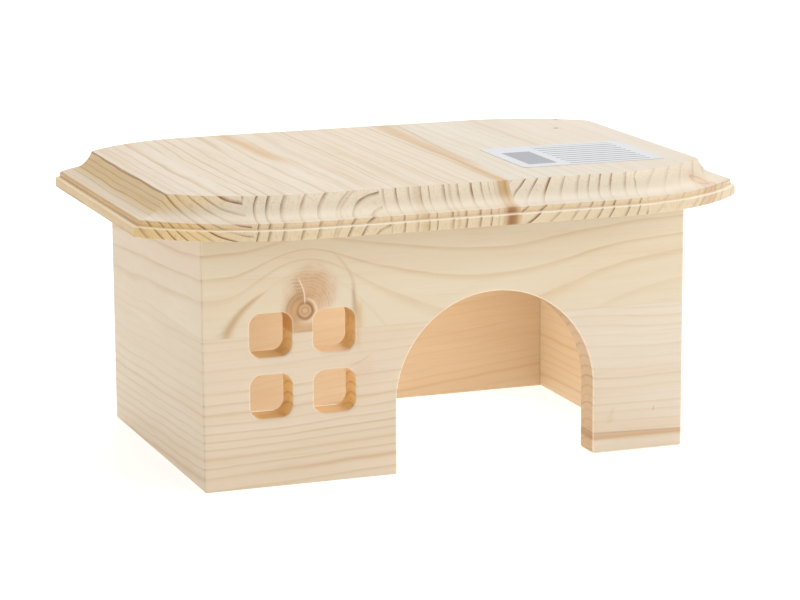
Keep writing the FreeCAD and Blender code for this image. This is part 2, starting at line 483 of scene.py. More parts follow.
@dataclass(frozen=True)
class WallGrowth(Growth):
    """Rings that lie nearly level and run on round the house's mitred corners."""

    rise: float = 3.7
    rise_centre: float = -5.0
    rise_reach: float = 60.0
    fall: float = 0.045
    arch: float = 2.4
    arch_middle: float = 4.0
    arch_reach: float = 8.0
    tilt: float = 0.0

    def level(self, recipe: "Timber") -> Signal:
        """Height on the wall, corrected for the rings' slope, waver and arch in its thickness.

        Args:
            recipe: The stave's material.

        Returns:
            The corrected height.
        """
        x, y, z = recipe.place
        ends, sides = recipe.depths
        bow = (ends.math("MINIMUM", sides) - self.arch_middle) / self.arch_reach
        slow = recipe.noise(x / 46.0, y / 46.0, z / 30.0, 1.0) * 1.5
        quick = recipe.noise(x / 13.0, y / 13.0, z / 9.0 + 40.0, 1.0) * 0.35
        sloped = z + (y + recipe.house.half_depth) * self.fall - x * self.tilt
        return sloped + bow * bow * self.arch + slow + quick

    def measure(self, recipe: "Timber") -> Signal:
        """Level growth with one long, low swell."""
        swell = (recipe.place[0] - self.rise_centre).hump(self.rise_reach)
        return self.level(recipe) - swell * self.rise


@dataclass(frozen=True)
class BranchColours:
    """The colours of a sawn branch, from its halo inwards."""

    halo: Colour = (0.59, 0.36, 0.19)
    arcs: Colour = (0.44, 0.25, 0.13)
    shoulder: Colour = (0.48, 0.26, 0.10)
    second: Colour = (0.30, 0.16, 0.08)
    core: Colour = (0.60, 0.39, 0.20)
    bark: Colour = (0.30, 0.12, 0.045)
    heart: Colour = (0.38, 0.19, 0.09)
    rim: Colour = (0.76, 0.62, 0.38)
    ticks: Colour = (0.38, 0.26, 0.14)
    crack: Colour = (0.86, 0.75, 0.58)


@dataclass(frozen=True)
class KnottedGrowth(WallGrowth):
    """Rings that part round a branch, and sag in a long curve beside it."""

    branch: Pair = (-56.0, 64.5)
    branch_reach: float = 14.4
    lift: float = 21.5
    lift_height: float = 79.5
    lift_fade: float = 8.0
    sag: float = 12.0
    sag_centre: float = 15.0
    sag_height: float = 60.0
    sag_period: float = 180.0
    sag_fade: float = 22.0
    halo: Pair = (-53.6, 71.5)
    arc_pitch: float = 1.25
    tick_pitch: float = 1.35
    colours: BranchColours = BranchColours()

    def measure(self, recipe: "Timber") -> Signal:
        """Level growth, lifted over the branch and let down to the right of it.

        Args:
            recipe: The stave's material.

        Returns:
            The growth.
        """
        x, y, z = recipe.place
        fade = ((z - self.lift_height) / -self.lift_fade).math("EXPONENT")
        lifted = (x - self.branch[0]).hump(self.branch_reach) * fade * self.lift
        turn = (x - self.sag_centre) * (2 * math.pi / self.sag_period)
        depth = ((z - self.sag_height) / -self.sag_fade).math("EXPONENT") * self.sag
        sagged = turn.math("COSINE") * x.ease(-62.0, -15.0) * depth
        return self.level(recipe) + (sagged - lifted) * y.ease(0.0, -40.0)

    def paint(self, recipe: Recipe) -> None:
        """Colour the branch: a brown halo of broken arcs, a ringed core, ticks and a crack.

        Args:
            recipe: The stave's material.
        """
        x, y, z = recipe.place
        aside, above = x - self.branch[0], z - self.branch[1]
        plain, hues = recipe.colour, self.colours
        core = self.away(recipe, self.branch, 0.25)
        arc = self.away(recipe, (self.branch[0] + 1.0, self.branch[1] + 1.5), 0.8)
        shade = self.away(recipe, self.halo, 1.6).ease(12.5, 4.0)
        broken = recipe.noise(x / 3.0, z / 3.0, 9.0).ease(-0.5, 0.6)
        arcs = abs((arc / self.arc_pitch).math("FRACT") - 0.5).ease(0.5, 0.15)
        recipe.paint(shade * 0.82, hues.halo)
        recipe.paint(shade * arcs * broken * 0.55, hues.arcs)
        near = core.ease(10.5, 4.5) * (x - z * 0.5).ease(-85.0, -91.0) * z.ease(75.0, 68.0)
        recipe.paint(near * 0.9, hues.shoulder)
        rings = (core - 5.2).hump(0.55) + (core - 6.8).hump(0.5) * 0.7
        second = rings * aside.ease(0.5, -2.5) * above.ease(-2.5, 0.0)
        recipe.paint(second * recipe.noise(x, z, 3.0).ease(-0.9, 0.3) * 0.8, hues.second)
        recipe.paint(core.ease(4.0, 3.2), hues.core)
        recipe.paint((core - 2.9).hump(0.65) * 0.9, hues.bark)
        recipe.paint((core - 1.3).hump(0.4) * 0.6, hues.heart)
        recipe.paint((core - 4.4).hump(0.5) * aside.ease(-1.0, 2.5) * 0.7, hues.rim)
        bend = (z - 78.0).hump(4.5) * -2.6 + recipe.noise(z / 2.0, 7.0, 0.0) * 0.2
        beside = aside - bend
        long = z.ease(66.5, 68.0) * z.ease(77.5, 75.0)
        ticks = abs((z / self.tick_pitch).math("FRACT") - 0.5).ease(0.35, 0.1)
        ticks = ticks * beside.ease(-4.0, -2.0) * beside.ease(-0.2, -0.6) * long
        recipe.paint(ticks * 0.55, hues.ticks)
        recipe.paint(beside.hump(0.24) * long * 0.7, hues.crack)
        recipe.colour = recipe.mix(y.ease(-30.0, -46.0), plain, recipe.colour)

    @staticmethod
    def away(recipe: Recipe, centre: Pair, uneven: float) -> Signal:
        """Distance on the wall's face from a centre, made a little uneven."""
        x, _, z = recipe.place
        return distance(x - centre[0], z - centre[1]) + recipe.noise(x / 3.5, z / 3.5, 5.0) * uneven


# ---- Timber ----


class Grain(Enum):
    """Which way a stave's fibres run: the index of that axis."""

    ALONG_X = 0
    ALONG_Y = 1


@dataclass(frozen=True)
class Spruce:
    """Sanded, untreated spruce: its colours, the painted light and shade laid over them, and its
    finish.
    """

    early: Colour = (0.700, 0.590, 0.437)
    late: Colour = (0.54, 0.36, 0.165)
    end_early: Colour = (0.87, 0.75, 0.575)
    end_late: Colour = (0.255, 0.115, 0.040)
    heart: Colour = (0.62, 0.41, 0.20)
    pale: Colour = (0.82, 0.72, 0.57)
    glue: Colour = (0.42, 0.28, 0.15)
    # rim is a painted highlight for the eased edges of the walls
    rim: Colour = (0.92, 0.82, 0.66)
    # inside, window, doorway, threshold and crown are painted shade and bounce light for the walls'
    # inner faces and openings
    inside: Colour = (0.97, 0.88, 0.76)
    window: Colour = (1.13, 1.03, 0.72)
    doorway: Colour = (0.74, 0.68, 0.60)
    threshold: Colour = (0.72, 0.645, 0.535)
    crown: Colour = (0.585, 0.45, 0.28)
    # lip, step, the left end's colour and the ledge colour are painted light and shade for the
    # roof's moulding; the left end's colour also holds its own golden tone
    lip: Colour = (0.82, 0.77, 0.65)
    step: Colour = (0.885, 0.79, 0.64)
    left_face_tone_and_light: Colour = (1.11, 1.0, 0.73)
    painted_sheen: Colour = (0.93, 0.81, 0.62)
    roughness: float = 0.45
    roughness_swing: float = 0.06
    specular: float = 0.5
    relief: float = 0.06 * MM
    glue_width: float = 0.16
    glue_strength: float = 0.15
    mitre_width: float = 0.30
    mitre_strength: float = 0.36


@dataclass(frozen=True)
class Stave:
    """One glued stave: its node, its growth and how strongly that shows."""

    node: str
    grain: Grain
    growth: Growth
    rings: tuple[float, ...]
    late_share: float = 0.42
    late_power: float = 2.2
    late_stop: float = 0.955
    contrast: float = 1.0
    end_contrast: float = 1.0
    streakiness: float = 1.0
    tint: Colour = WHITE
    streaks: tuple[Streak, ...] = ()
    marks: tuple[Mark, ...] = ()
    seed: float = 0.0


class Timber(Recipe):
    """Writes the spruce of one stave."""

    def __init__(self, stave: Stave, house: House, spruce: Spruce) -> None:
        """Start the stave's material.

        Args:
            stave: The stave.
            house: The house's sizes.
            spruce: The wood's colours and finish.
        """
        super().__init__("spruce_" + stave.node)
        self.stave = stave
        self.house = house
        self.spruce = spruce

    @cached_property
    def depths(self) -> tuple[Signal, Signal]:
        """How far the point lies inside the walls' end faces and inside their long faces."""
        x, y, _ = self.place
        return self.house.half_length - abs(x), self.house.half_depth - abs(y)

    @cached_property
    def end(self) -> Signal:
        """How squarely the surface cuts across the fibres, from 0 to 1."""
        return abs(self.facing[self.stave.grain.value]).ease(0.12, 0.95)

    @cached_property
    def flank(self) -> Signal:
        """How far the surface looks to the left or right, from 0 to 1."""
        return abs(self.facing[0]).ease(0.2, 0.6)

    def write(self) -> bpy.types.Material:
        """Write the material, from the earlywood up to the marks, the joints and the painted light
        and shade.

        Returns:
            The material.
        """
        stave, spruce = self.stave, self.spruce
        on_roof = isinstance(stave.growth, RoofGrowth)
        growth = stave.growth.measure(self)
        years = growth.count(stave.rings)
        year = years.math("FLOOR")
        late = self.latewood(years.math("FRACT"), year)
        self.base(year)
        self.fibred()
        tone = self.end.math("MAXIMUM", self.flank * 0.45) if on_roof else self.end
        self.paint(late, self.mix(tone, spruce.late, spruce.end_late))
        for streak in stave.streaks:
            streak.lay(self, growth, self.place[stave.grain.value])
        stave.growth.paint(self)
        for mark in stave.marks:
            mark.lay(self)
        if isinstance(stave.growth, WallGrowth):
            self.painted_light_and_joints()
        if on_roof:
            self.moulded()
        rough = self.noise(*(term / 6.0 for term in self.place), 2.0) * spruce.roughness_swing
        self.dial("Base Color", self.colour)
        self.dial("Roughness", rough + spruce.roughness)
        self.dial("Specular IOR Level", spruce.specular)
        self.relief(late * 0.6 + self.fibres(0.4) * 0.3 + 0.4, spruce.relief)
        return self.material

    def latewood(self, season: Signal, year: Signal) -> Signal:
        """Share of dark latewood: it deepens through the season and stops at the new year.

        Args:
            season: Part of the year's growth that is done, from 0 to 1.
            year: The ring's number.

        Returns:
            The share.
        """
        stave = self.stave
        deepening = season.ease(1.0 - stave.late_share, 0.96) ** stave.late_power
        stop = season.ease(1.0, stave.late_stop)
        vigour = self.random(year, stave.seed + 3.0) * 0.75 + 0.35
        patchy = self.drawn(0.12, 5.0, stave.seed + 9.0) * 0.8 + 1.0
        if isinstance(stave.growth, RoofGrowth):
            on_face = self.flank * 0.5 + stave.contrast * 0.65
        else:
            height = self.place[2]
            calm = height.ease(20.0, 36.0) * height.ease(58.0, 56.0)
            on_face = (calm * -0.35 + 1.0) * (stave.contrast * 0.55)
        on_end = stave.end_contrast * 0.80
        visible = self.end * (on_end - on_face) + on_face
        return (deepening * stop * vigour * patchy * visible).math("MINIMUM", 1.0)

    def base(self, year: Signal) -> None:
        """Lay the earlywood, with slow drifts of colour, a tint per year and its end grain.

        Args:
            year: The ring's number.
        """
        stave, spruce = self.stave, self.spruce
        drift = self.drawn(0.2, 20.0, stave.seed)
        self.colour = self.mix(1.0, spruce.early, stave.tint, "MULTIPLY")
        self.paint(drift.ease(-0.1, 0.6) * 0.22, spruce.heart)
        self.paint(drift.ease(0.0, -0.6) * 0.25, spruce.pale)
        self.paint(self.random(year, stave.seed) * 0.07, spruce.heart)
        self.paint(self.end, self.mix(0.75, self.colour, spruce.end_early))

    def fibred(self) -> None:
        """Draw broad, fine and hair-thin streaks along the grain, and pores on the end grain."""
        spruce, much = self.spruce, self.stave.streakiness
        broad, fine, hair = (self.fibres(width) for width in (2.6, 0.85, 0.38))
        self.paint(broad.ease(0.05, 0.75) * (0.20 * much), spruce.heart)
        self.paint(broad.ease(-0.05, -0.7) * (0.22 * much), spruce.pale)
        self.paint(fine.ease(0.15, 0.8) * (0.30 * much), spruce.late)
        self.paint(hair.ease(0.28, 0.62) * (0.28 * much), spruce.late)
        x, y, z = self.place
        pores = self.noise(x / 0.5, y / 0.5, z / 2.0 + self.stave.seed, 1.0)
        self.paint(pores.ease(-0.2, -0.7) * self.end * 0.45, spruce.pale)
        self.paint(pores.ease(0.1, 0.6) * self.end * 0.60, spruce.heart)

    def fibres(self, width: float) -> Signal:
        """Long streaks along the grain that are a width in millimetres across."""
        return self.drawn(0.035, width, self.stave.seed * width)

    def drawn(self, share: float, width: float, apart: float) -> Signal:
        """Noise that is drawn out along the grain, so that it becomes streaks.

        Args:
            share: How much slower it changes along the grain than across.
            width: How wide one streak is, in millimetres.
            apart: Keeps two uses apart.

        Returns:
            The noise.
        """
        point = list(self.place)
        grain = self.stave.grain.value
        point[grain] = point[grain] * share
        x, y, z = (term / width for term in point)
        return self.noise(x, y, z + apart, 2.0)

    def painted_light_and_joints(self) -> None:
        """Paint light and shade into a wall's inner faces and openings; mark its glue line and
        mitres.
        """
        x, y, z = self.place
        house, spruce, reach = self.house, self.spruce, self.house.windows_reach
        ends, sides = self.depths
        depth, corner = ends.math("MINIMUM", sides), ends - sides
        inner = depth.ease(0.5, 1.6) * z.ease(house.height - 0.1, house.height - 0.4)
        # painted shade and warm bounce light: inner faces and the reveals of the openings are
        # glazed darker and warmer
        self.glaze(inner, spruce.inside)
        sawn = depth.ease(house.wall - 0.1, house.wall - 0.3) * inner * y.ease(0.0, -20.0)
        across, above = abs(x - house.windows[0]), abs(z - house.windows[1])
        # painted warm light: the window reveals are glazed brighter and warmer
        window = across.math("MAXIMUM", above).ease(reach + 1.0, reach - 0.5) * sawn
        self.glaze(window, spruce.window)
        mottle = self.noise(x / 4.0, y / 3.0, z / 2.2, 2.0).ease(0.0, 0.6)
        self.paint(mottle * window * z.ease(38.0, 56.0) * 0.4, spruce.glue)
        # painted shade on the door's sawn faces, darkest and warmest at the arch's crown
        doorway_shade = self.mix(z.ease(22.0, 4.0), spruce.doorway, spruce.threshold)
        doorway_shade = self.mix(z.ease(40.0, 60.0), doorway_shade, spruce.crown)
        self.glaze(x.ease(0.0, 20.0) * sawn, doorway_shade)
        # painted highlight: the eased edges of the outer faces are painted paler, except at the
        # mitred corners
        rim = depth.ease(0.04, 0.2) * depth.ease(1.0, 0.6)
        self.paint(rim * abs(corner).ease(0.6, 1.2) * 0.38, spruce.rim)
        glue = (z - house.glue_height).hump(spruce.glue_width) * spruce.glue_strength
        mitre = corner.hump(spruce.mitre_width) * spruce.mitre_strength
        self.paint(glue.math("MAXIMUM", mitre), spruce.glue)

    def moulded(self) -> None:
        """Paint light and shade on the moulding: lip, step, ledge, cove foot and left end."""
        house, spruce = self.house, self.spruce
        lip_top, cove_foot = house.lip_top, house.cove_foot
        rise = self.place[2] - house.height
        # painted shade: the lip's face below the ledge is glazed darker
        self.glaze(rise.ease(lip_top - 0.1, lip_top - 0.7), spruce.lip)
        # painted shade: the step between the ledge and the cove is glazed darker
        step = rise.ease(lip_top, lip_top + 0.3) * rise.ease(cove_foot + 0.1, cove_foot - 0.5)
        self.glaze(step, spruce.step)
        # painted highlight: a pale line along the ledge on top of the lip
        self.paint((rise - lip_top + 0.1).hump(0.3) * 0.85, spruce.painted_sheen)
        below_top = rise.ease(house.roof - 0.05, house.roof - 0.4)
        left = self.facing[0].ease(-0.25, -0.6) * below_top
        # painted sheen: the foot of the cove is painted paler, except on faces looking left
        foot = (rise - cove_foot - 1.6).hump(1.6) * (left * -1.0 + 1.0)
        self.paint(foot * 0.30, spruce.painted_sheen)
        # faces looking left are glazed more golden: partly the left end's own wood, partly painted
        # light and shade
        self.glaze(left, spruce.left_face_tone_and_light)


# ---- Sub-assemblies -------------------------------------------------------------------------


@dataclass(frozen=True)
class Sanding:
    """Takes the sharp edges off a board's solid, but leaves its glued faces as they are."""

    width: float = 0.55 * MM
    sharp: float = math.radians(40.0)
    flat: float = math.radians(0.3)
    smooth: float = math.radians(30.0)
    reach: float = 0.02 * MM

    def ease(self, node: bpy.types.Object, name: str, house: House) -> bpy.types.Object:
        """Copy a node's solid, merge its loose triangles and chamfer its exposed edges.

        Args:
            node: The CAD node.
            name: The new piece's name.
            house: The house's sizes.

        Returns:
            The new piece.
        """
        mesh = bmesh.new()
        mesh.from_mesh(node.data)
        mesh.transform(node.matrix_world)
        bmesh.ops.remove_doubles(mesh, verts=mesh.verts, dist=self.reach / 10)
        bmesh.ops.dissolve_limit(mesh, angle_limit=self.flat, verts=mesh.verts, edges=mesh.edges)
        bmesh.ops.recalc_face_normals(mesh, faces=mesh.faces)
        edges = [edge for edge in mesh.edges if self.exposed(edge, house)]
        bmesh.ops.bevel(
            mesh, geom=edges, offset=self.width, segments=1, profile=0.5,
            affect="EDGES", clamp_overlap=True, material=-1,
        )
        piece = make_piece(name, mesh)
        piece.data.set_sharp_from_angle(angle=self.smooth)
        return piece

    def exposed(self, edge: bmesh.types.BMEdge, house: House) -> bool:
        """Whether an edge is sharp, stands out and lies on no glued face.

        Args:
            edge: The edge.
            house: The house's sizes.

        Returns:
            True if the edge is to be eased.
        """
        if not edge.is_manifold or not edge.is_convex or edge.calc_face_angle() < self.sharp:
            return False
        middle = (edge.verts[0].co + edge.verts[1].co) / 2
        mitre = abs(middle.x) - abs(middle.y) - (house.half_length - house.half_depth) * MM
        glue = middle.z - house.glue_height * MM
        return min(abs(mitre), abs(glue)) > self.reach


@dataclass
class Woodwork:
    """Wooden pieces of one body, each a stave with a timber of its own."""

    nodes: dict[str, bpy.types.Object]
    house: House
    spruce: Spruce = Spruce()
    body: str = "roof"

    def staves(self) -> list[Stave]:
        """Every stave."""
        raise NotImplementedError

    def timber(self, stave: Stave) -> bpy.types.Material:
        """A stave's material."""
        return Timber(stave, self.house, self.spruce).write()

    def dress(self) -> None:
        """Give every stave its timber."""
        for stave in self.staves():
            finish(self.nodes[stave.node], self.timber(stave))
            LOG.info("%s dressed, on body %s", stave.node, self.body)


@dataclass
class Walls(Woodwork):
    """Four mitred walls, each edge-glued from a lower and an upper stave."""

    body: str = "walls"
    sanding: Sanding = Sanding()
    slot: str = "wall_wood"
    back_tilt: float = 0.14
    upper_fall: float = 0.07
    lower_rings: tuple[float, ...] = (
        -8.0, -3.5, 1.0, 5.8, 9.2, 12.6, 16.1, 19.0, 22.0, 25.5, 29.3, 33.0,
        37.0, 41.5, 45.6, 49.0, 52.6, 55.8, 59.5, 64.0, 69.0, 74.0,
    )
    upper_rings: tuple[float, ...] = (40.0, 58.0, 72.0, 80.0, 88.0, 95.5, 103.0, 111.0)
    bands: tuple[Streak, ...] = (
        Streak(5.2, 1.1, 0.42, along=(-70.0, 200.0), fade=25.0, colour=(0.55, 0.33, 0.17)),
        Streak(12.2, 0.9, 0.25),
        Streak(28.9, 0.8, 0.22),
    )

    def stave(self, node: str, **looks: object) -> Stave:
        """One stave of a wall, whose node says which.

        Args:
            node: Its node.
            **looks: What sets it apart from the others.

        Returns:
            The stave.
        """
        if node.endswith("upper_stave"):
            growth, rings = KnottedGrowth(fall=self.upper_fall), self.upper_rings
            usual = {"late_share": 0.32, "late_power": 1.3, "late_stop": 0.94, "contrast": 0.75}
        else:
            tilt = self.back_tilt if node.startswith("back") else 0.0
            growth, rings = WallGrowth(tilt=tilt), self.lower_rings
            usual = {"late_share": 0.5, "late_power": 1.5, "late_stop": 0.92, "streaks": self.bands}
        grain = Grain.ALONG_Y if node.startswith(("left", "right")) else Grain.ALONG_X
        looks = {"end_contrast": 0.45, **usual, **looks}
        return Stave(node, grain, growth, rings, **looks)

    def staves(self) -> list[Stave]:
        """Every stave of the walls.

        Returns:
            The staves, wall by wall.
        """
        brown, golden, pink = (0.43, 0.27, 0.15), (0.62, 0.41, 0.18), (0.66, 0.43, 0.28)
        bark = (0.56, 0.34, 0.17)
        # painted light and shade: the left, back and right walls are tinted for how each is lit
        left_wall_light, shaded, lit = (1.025, 1.0, 0.975), (0.98, 0.945, 0.92), (1.09, 1.12, 1.15)
        beside_windows = (
            Stroke(-35.6, 49.0, 90.0, 8.0, (0.9, 0.9), 0.4, colour=golden),
            Stroke(-38.0, 40.0, 8.0, 8.0, (3.2, 3.0), 0.3, colour=pink),
            Stroke(-38.5, 42.6, 16.0, 8.0, (0.45, 0.3), 0.25, 0.02, colour=brown),
        )
        jamb_band = (
            Stroke(57.0, 5.9, -0.3, 42.0, (0.75, 0.45), 0.85, colour=bark),
            Stroke(57.0, 6.9, -1.1, 42.0, (0.85, 0.55), 0.75, colour=bark),
            Stroke(57.0, 7.9, -1.7, 42.0, (0.40, 0.32), 0.6, colour=(0.42, 0.24, 0.12)),
            Stroke(57.0, 10.0, -0.6, 42.0, (1.8, 1.4), 0.25, colour=(0.66, 0.44, 0.25)),
            Stroke(64.2, 12.2, 66.0, 5.5, (1.3, 0.6), 0.3, colour=(0.60, 0.41, 0.22)),
            Stroke(64.9, 12.0, 30.0, 1.6, (0.6, 0.4), 0.4, colour=(0.50, 0.32, 0.17)),
            Stroke(82.8, 15.0, 80.0, 1.6, (0.35, 0.25), 0.5, 0.0, 0.5, (0.45, 0.27, 0.14)),
        )
        round_knot = (
            Stroke(-86.6, 55.5, 74.0, 19.5, (2.1, 0.7), 0.8, -0.024, 3.5, (0.49, 0.31, 0.15)),
            Stroke(-36.6, 60.0, 92.0, 12.0, (1.5, 0.5), 0.7, 0.004, 3.0, brown),
            Stroke(-35.2, 54.0, 90.0, 12.0, (1.6, 1.2), 0.6, colour=golden),
            Stroke(-36.8, 70.0, 92.0, 15.0, (0.7, 0.5), 0.4, 0.032, 3.0, (0.50, 0.36, 0.20)),
            Stroke(-62.0, 58.2, 0.0, 11.0, (2.4, 2.4), 0.85, colour=(0.57, 0.32, 0.14)),
            Stroke(-60.0, 56.9, 2.0, 8.0, (0.5, 0.5), 0.5, colour=brown),
            Stroke(-62.5, 61.0, 62.0, 8.0, (2.2, 1.6), 0.65, colour=(0.58, 0.33, 0.14)),
            Stroke(36.0, 60.0, 24.0, 20.0, (4.0, 3.0), 0.15, 0.002, 6.0, golden),
        )
        one_band = (Streak(5.2, 0.7, 0.25, colour=(0.55, 0.33, 0.17)),)
        return [
            self.stave(
                "front_wall_lower_stave", contrast=0.9, tint=(1.01, 0.985, 0.99),
                marks=beside_windows, seed=1.0,
            ),
            self.stave(
                "front_wall_door_jamb", contrast=0.6, tint=(1.01, 1.03, 1.10), streaks=(),
                marks=jamb_band, seed=2.0,
            ),
            self.stave(
                "front_wall_upper_stave", tint=(1.0, 1.01, 1.0), marks=round_knot, seed=3.0
            ),
            self.stave(
                "back_wall_lower_stave", contrast=0.45, tint=shaded, streaks=one_band, seed=4.0
            ),
            self.stave("back_wall_upper_stave", contrast=0.5, tint=shaded, seed=5.0),
            self.stave("left_wall_lower_stave", contrast=0.85, tint=left_wall_light, seed=1.0),
            self.stave("left_wall_upper_stave", contrast=0.85, tint=left_wall_light, seed=3.0),
            self.stave("right_wall_lower_stave", contrast=0.5, tint=lit, seed=2.0),
            self.stave("right_wall_upper_stave", seed=3.0),
        ]

    def dress(self) -> None:
        """Ease every stave's edges and give it its timber."""
        for stave in self.staves():
            name = stave.node + "_sanded"
            piece = self.sanding.ease(self.nodes[stave.node], name, self.house)
            finish(piece, self.timber(stave))
            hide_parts(stave.node)
            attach(piece, self.body)
            LOG.info("%s stands for %s, on body %s", name, stave.node, self.body)


@dataclass
class RoofBoard(Woodwork):
    """The moulded board of five staves, with end grain on its long edges."""

    @staticmethod
    def stave(
        node: str, pith: Pair, seed: float, rings: tuple[float, ...], **looks: object
    ) -> Stave:
        """A stave that runs from front to back, about a pith at (x, z)."""
        looks = {"late_stop": 0.97, **looks}
        return Stave(node, Grain.ALONG_Y, RoofGrowth(pith, seed), rings, seed=seed, **looks)

    def staves(self) -> list[Stave]:
        """Every stave of the roof.

        Returns:
            The staves, from left to right.
        """
        nose, deck, lip = (-200.0, -62.0), (-55.0, 200.0), (-300.0, -80.8)
        ring = (0.50, 0.29, 0.15)
        return [
            self.stave(
                "roof_left_end_stave", (-80.0, 122.0), 11.0,
                (
                    0.0, 6.0, 11.0, 16.0, 19.4, 22.4, 25.4, 28.2, 30.4, 32.5, 34.8, 37.3, 40.2,
                    43.6, 47.0, 50.0,
                ),
                late_power=1.7, late_stop=0.98, contrast=1.2, end_contrast=1.4, streakiness=2.4,
                tint=(1.02, 1.02, 1.07),
                streaks=(
                    Streak(24.2, 0.9, 0.35, along=deck),
                    Streak(33.0, 4.5, 0.25, along=deck, colour=(0.58, 0.39, 0.16)),
                    Streak(43.0, 1.6, 0.4, along=(-60.0, 200.0), colour=(0.54, 0.35, 0.14)),
                    Streak(27.7, 0.5, 0.3, 0.0, (-72.0, 5.0), 10.0, (0.42, 0.27, 0.13)),
                    Streak(42.4, 2.0, 0.65, 0.0, lip, 0.8, (0.50, 0.27, 0.12)),
                ),
            ),
            self.stave(
                "roof_left_stave", (-28.0, 87.0), 12.0,
                (0.0, 7.5, 12.2, 16.8, 21.5, 26.5, 32.3, 38.0, 44.5, 49.5, 53.2, 57.5, 62.0),
                contrast=1.25, end_contrast=1.05, streakiness=2.6, tint=(1.02, 1.03, 1.05),
                streaks=(
                    Streak(26.8, 1.9, 0.85, -0.035, (0.0, 200.0), 18.0, (0.60, 0.36, 0.13)),
                    Streak(24.8, 0.4, 0.45, 0.0, (-200.0, 8.0), 12.0),
                    Streak(36.4, 0.9, 0.5, 0.0, (36.0, 200.0), 12.0, (0.50, 0.31, 0.13)),
                    Streak(22.6, 0.5, 0.35, 0.0, (-60.0, 200.0), 12.0),
                ),
            ),
            self.stave(
                "roof_middle_stave", (-150.0, 117.0), 13.0,
                (
                    112.0, 117.0, 121.5, 126.3, 131.3, 135.5, 138.7, 144.6, 149.7, 155.0, 159.0,
                    162.0, 164.0, 168.3, 173.0,
                ),
                contrast=0.75, end_contrast=0.95, streakiness=1.9,
                streaks=(
                    Streak(169.0, 2.7, 0.88, -0.02, colour=(0.58, 0.35, 0.12)),
                    Streak(164.8, 0.5, 0.4, 0.014, colour=(0.42, 0.24, 0.10)),
                    Streak(167.4, 0.4, 0.4, 0.010, colour=(0.45, 0.26, 0.11)),
                    Streak(133.0, 1.6, 0.35, 0.01, (-300.0, 30.0), 30.0),
                    Streak(146.2, 0.6, 0.5, colour=(0.55, 0.36, 0.18)),
                    Streak(166.6, 2.0, 0.85, 0.0, lip, 0.8, (0.33, 0.14, 0.05)),
                    Streak(128.3, 0.6, 0.5, 0.0, (-50.0, 200.0)),
                ),
            ),
            self.stave(
                "roof_right_stave", (3.0, 128.0), 14.0,
                (
                    22.0, 26.5, 30.0, 33.5, 38.0, 43.0, 48.4, 52.5, 56.5, 60.5, 66.0, 70.0, 74.0,
                    79.0,
                ),
                contrast=0.65, end_contrast=1.2, streakiness=1.7, tint=(0.97, 1.015, 1.10),
                streaks=(
                    Streak(25.0, 2.6, 0.72, -0.022, (-40.0, 200.0), 35.0, (0.58, 0.35, 0.13)),
                    Streak(27.0, 0.5, 0.5, -0.06, (-5.0, 200.0), 30.0, (0.47, 0.28, 0.12)),
                    Streak(60.0, 2.0, 0.3, 0.0, (-10.0, 200.0), 20.0),
                ),
            ),
            self.stave(
                "roof_right_end_stave", (40.0, 140.0), 15.0,
                (38.0, 44.0, 50.0, 56.0, 62.0, 68.0, 74.0, 80.0, 86.0, 92.0),
                late_stop=0.955, contrast=0.3, end_contrast=0.35, tint=(0.98, 1.01, 1.09),
                streaks=(
                    Streak(73.0, 3.0, 0.5, 0.0, (-200.0, -61.0), 5.0, (0.64, 0.38, 0.22)),
                    Streak(70.2, 0.5, 0.55, 0.0, nose, 4.0, ring),
                    Streak(75.6, 0.6, 0.5, 0.0, nose, 4.0, ring),
                ),
                marks=(
                    PinKnot(84.0, 37.0, 1.1),
                    PinKnot(93.0, 58.0, 0.9),
                    Burl((100.5, -64.0, 104.0), 3.6),
                ),
            ),
        ]


@dataclass
class Battens(Woodwork):
    """Two planed battens under the roof. A pith is given by its y."""

    piths: tuple[tuple[str, float], ...] = (
        ("front_locating_batten", -70.0), ("back_locating_batten", 72.0),
    )
    pith_height: float = 60.0
    first_ring: float = 20.0
    ring_pitch: float = 2.6
    ring_count: int = 24

    def staves(self) -> list[Stave]:
        """Both battens.

        Returns:
            The front one and the back one.
        """
        rings = tuple(self.first_ring + self.ring_pitch * n for n in range(self.ring_count))
        return [
            Stave(
                node, Grain.ALONG_X, BattenGrowth((pith, self.pith_height)), rings, contrast=0.8,
                seed=pith,
            )
            for node, pith in self.piths
        ]


@dataclass(frozen=True)
class Paper:
    """Matt white label paper with plain grey rules and an empty toned field, without words.

    The rules and the field keep margins to the label's left, right, front and back edge.
    """

    white: Colour = (0.64, 0.65, 0.66)
    shade: Colour = (0.56, 0.57, 0.60)
    rule: Colour = (0.14, 0.15, 0.18)
    field_tone: Colour = (0.22, 0.23, 0.26)
    roughness: float = 0.55
    relief: float = 0.02 * MM
    rule_pitch: float = 4.4
    rule_width: float = 1.1
    first_rule: float = 3.0
    soft: float = 0.1
    rule_margins: Margins = (20.0, 5.0, 2.5, 3.0)
    field_margins: Margins = (4.5, 42.0, 6.0, 12.0)

    def material(self, low: Vector, high: Vector) -> bpy.types.Material:
        """Write the paper.

        Args:
            low: The label's lowest corner, in metres.
            high: Its highest corner, in metres.

        Returns:
            The material.
        """
        recipe = Recipe("label_paper_ruled", self.white)
        x, y, z = recipe.place
        mottle = recipe.noise(x / 1.2, y / 1.2, z, 3.0)
        recipe.paint(mottle.ease(-0.6, 0.8) * 0.08, self.shade)
        row = ((y - low.y / MM - self.first_rule) / self.rule_pitch).math("FRACT")
        line = (row * self.rule_pitch).ease(self.rule_width, self.rule_width - self.soft)
        rules, block = (
            x.within(low.x / MM + left, high.x / MM - right, self.soft)
            * y.within(low.y / MM + front, high.y / MM - back, self.soft)
            for left, right, front, back in (self.rule_margins, self.field_margins)
        )
        recipe.paint(line * rules * 0.9, self.rule)
        recipe.paint(block * 0.75, self.field_tone)
        recipe.dial("Base Color", recipe.colour)
        recipe.dial("Roughness", self.roughness)
        recipe.relief(mottle * 0.5 + 0.5, self.relief)
        return recipe.material


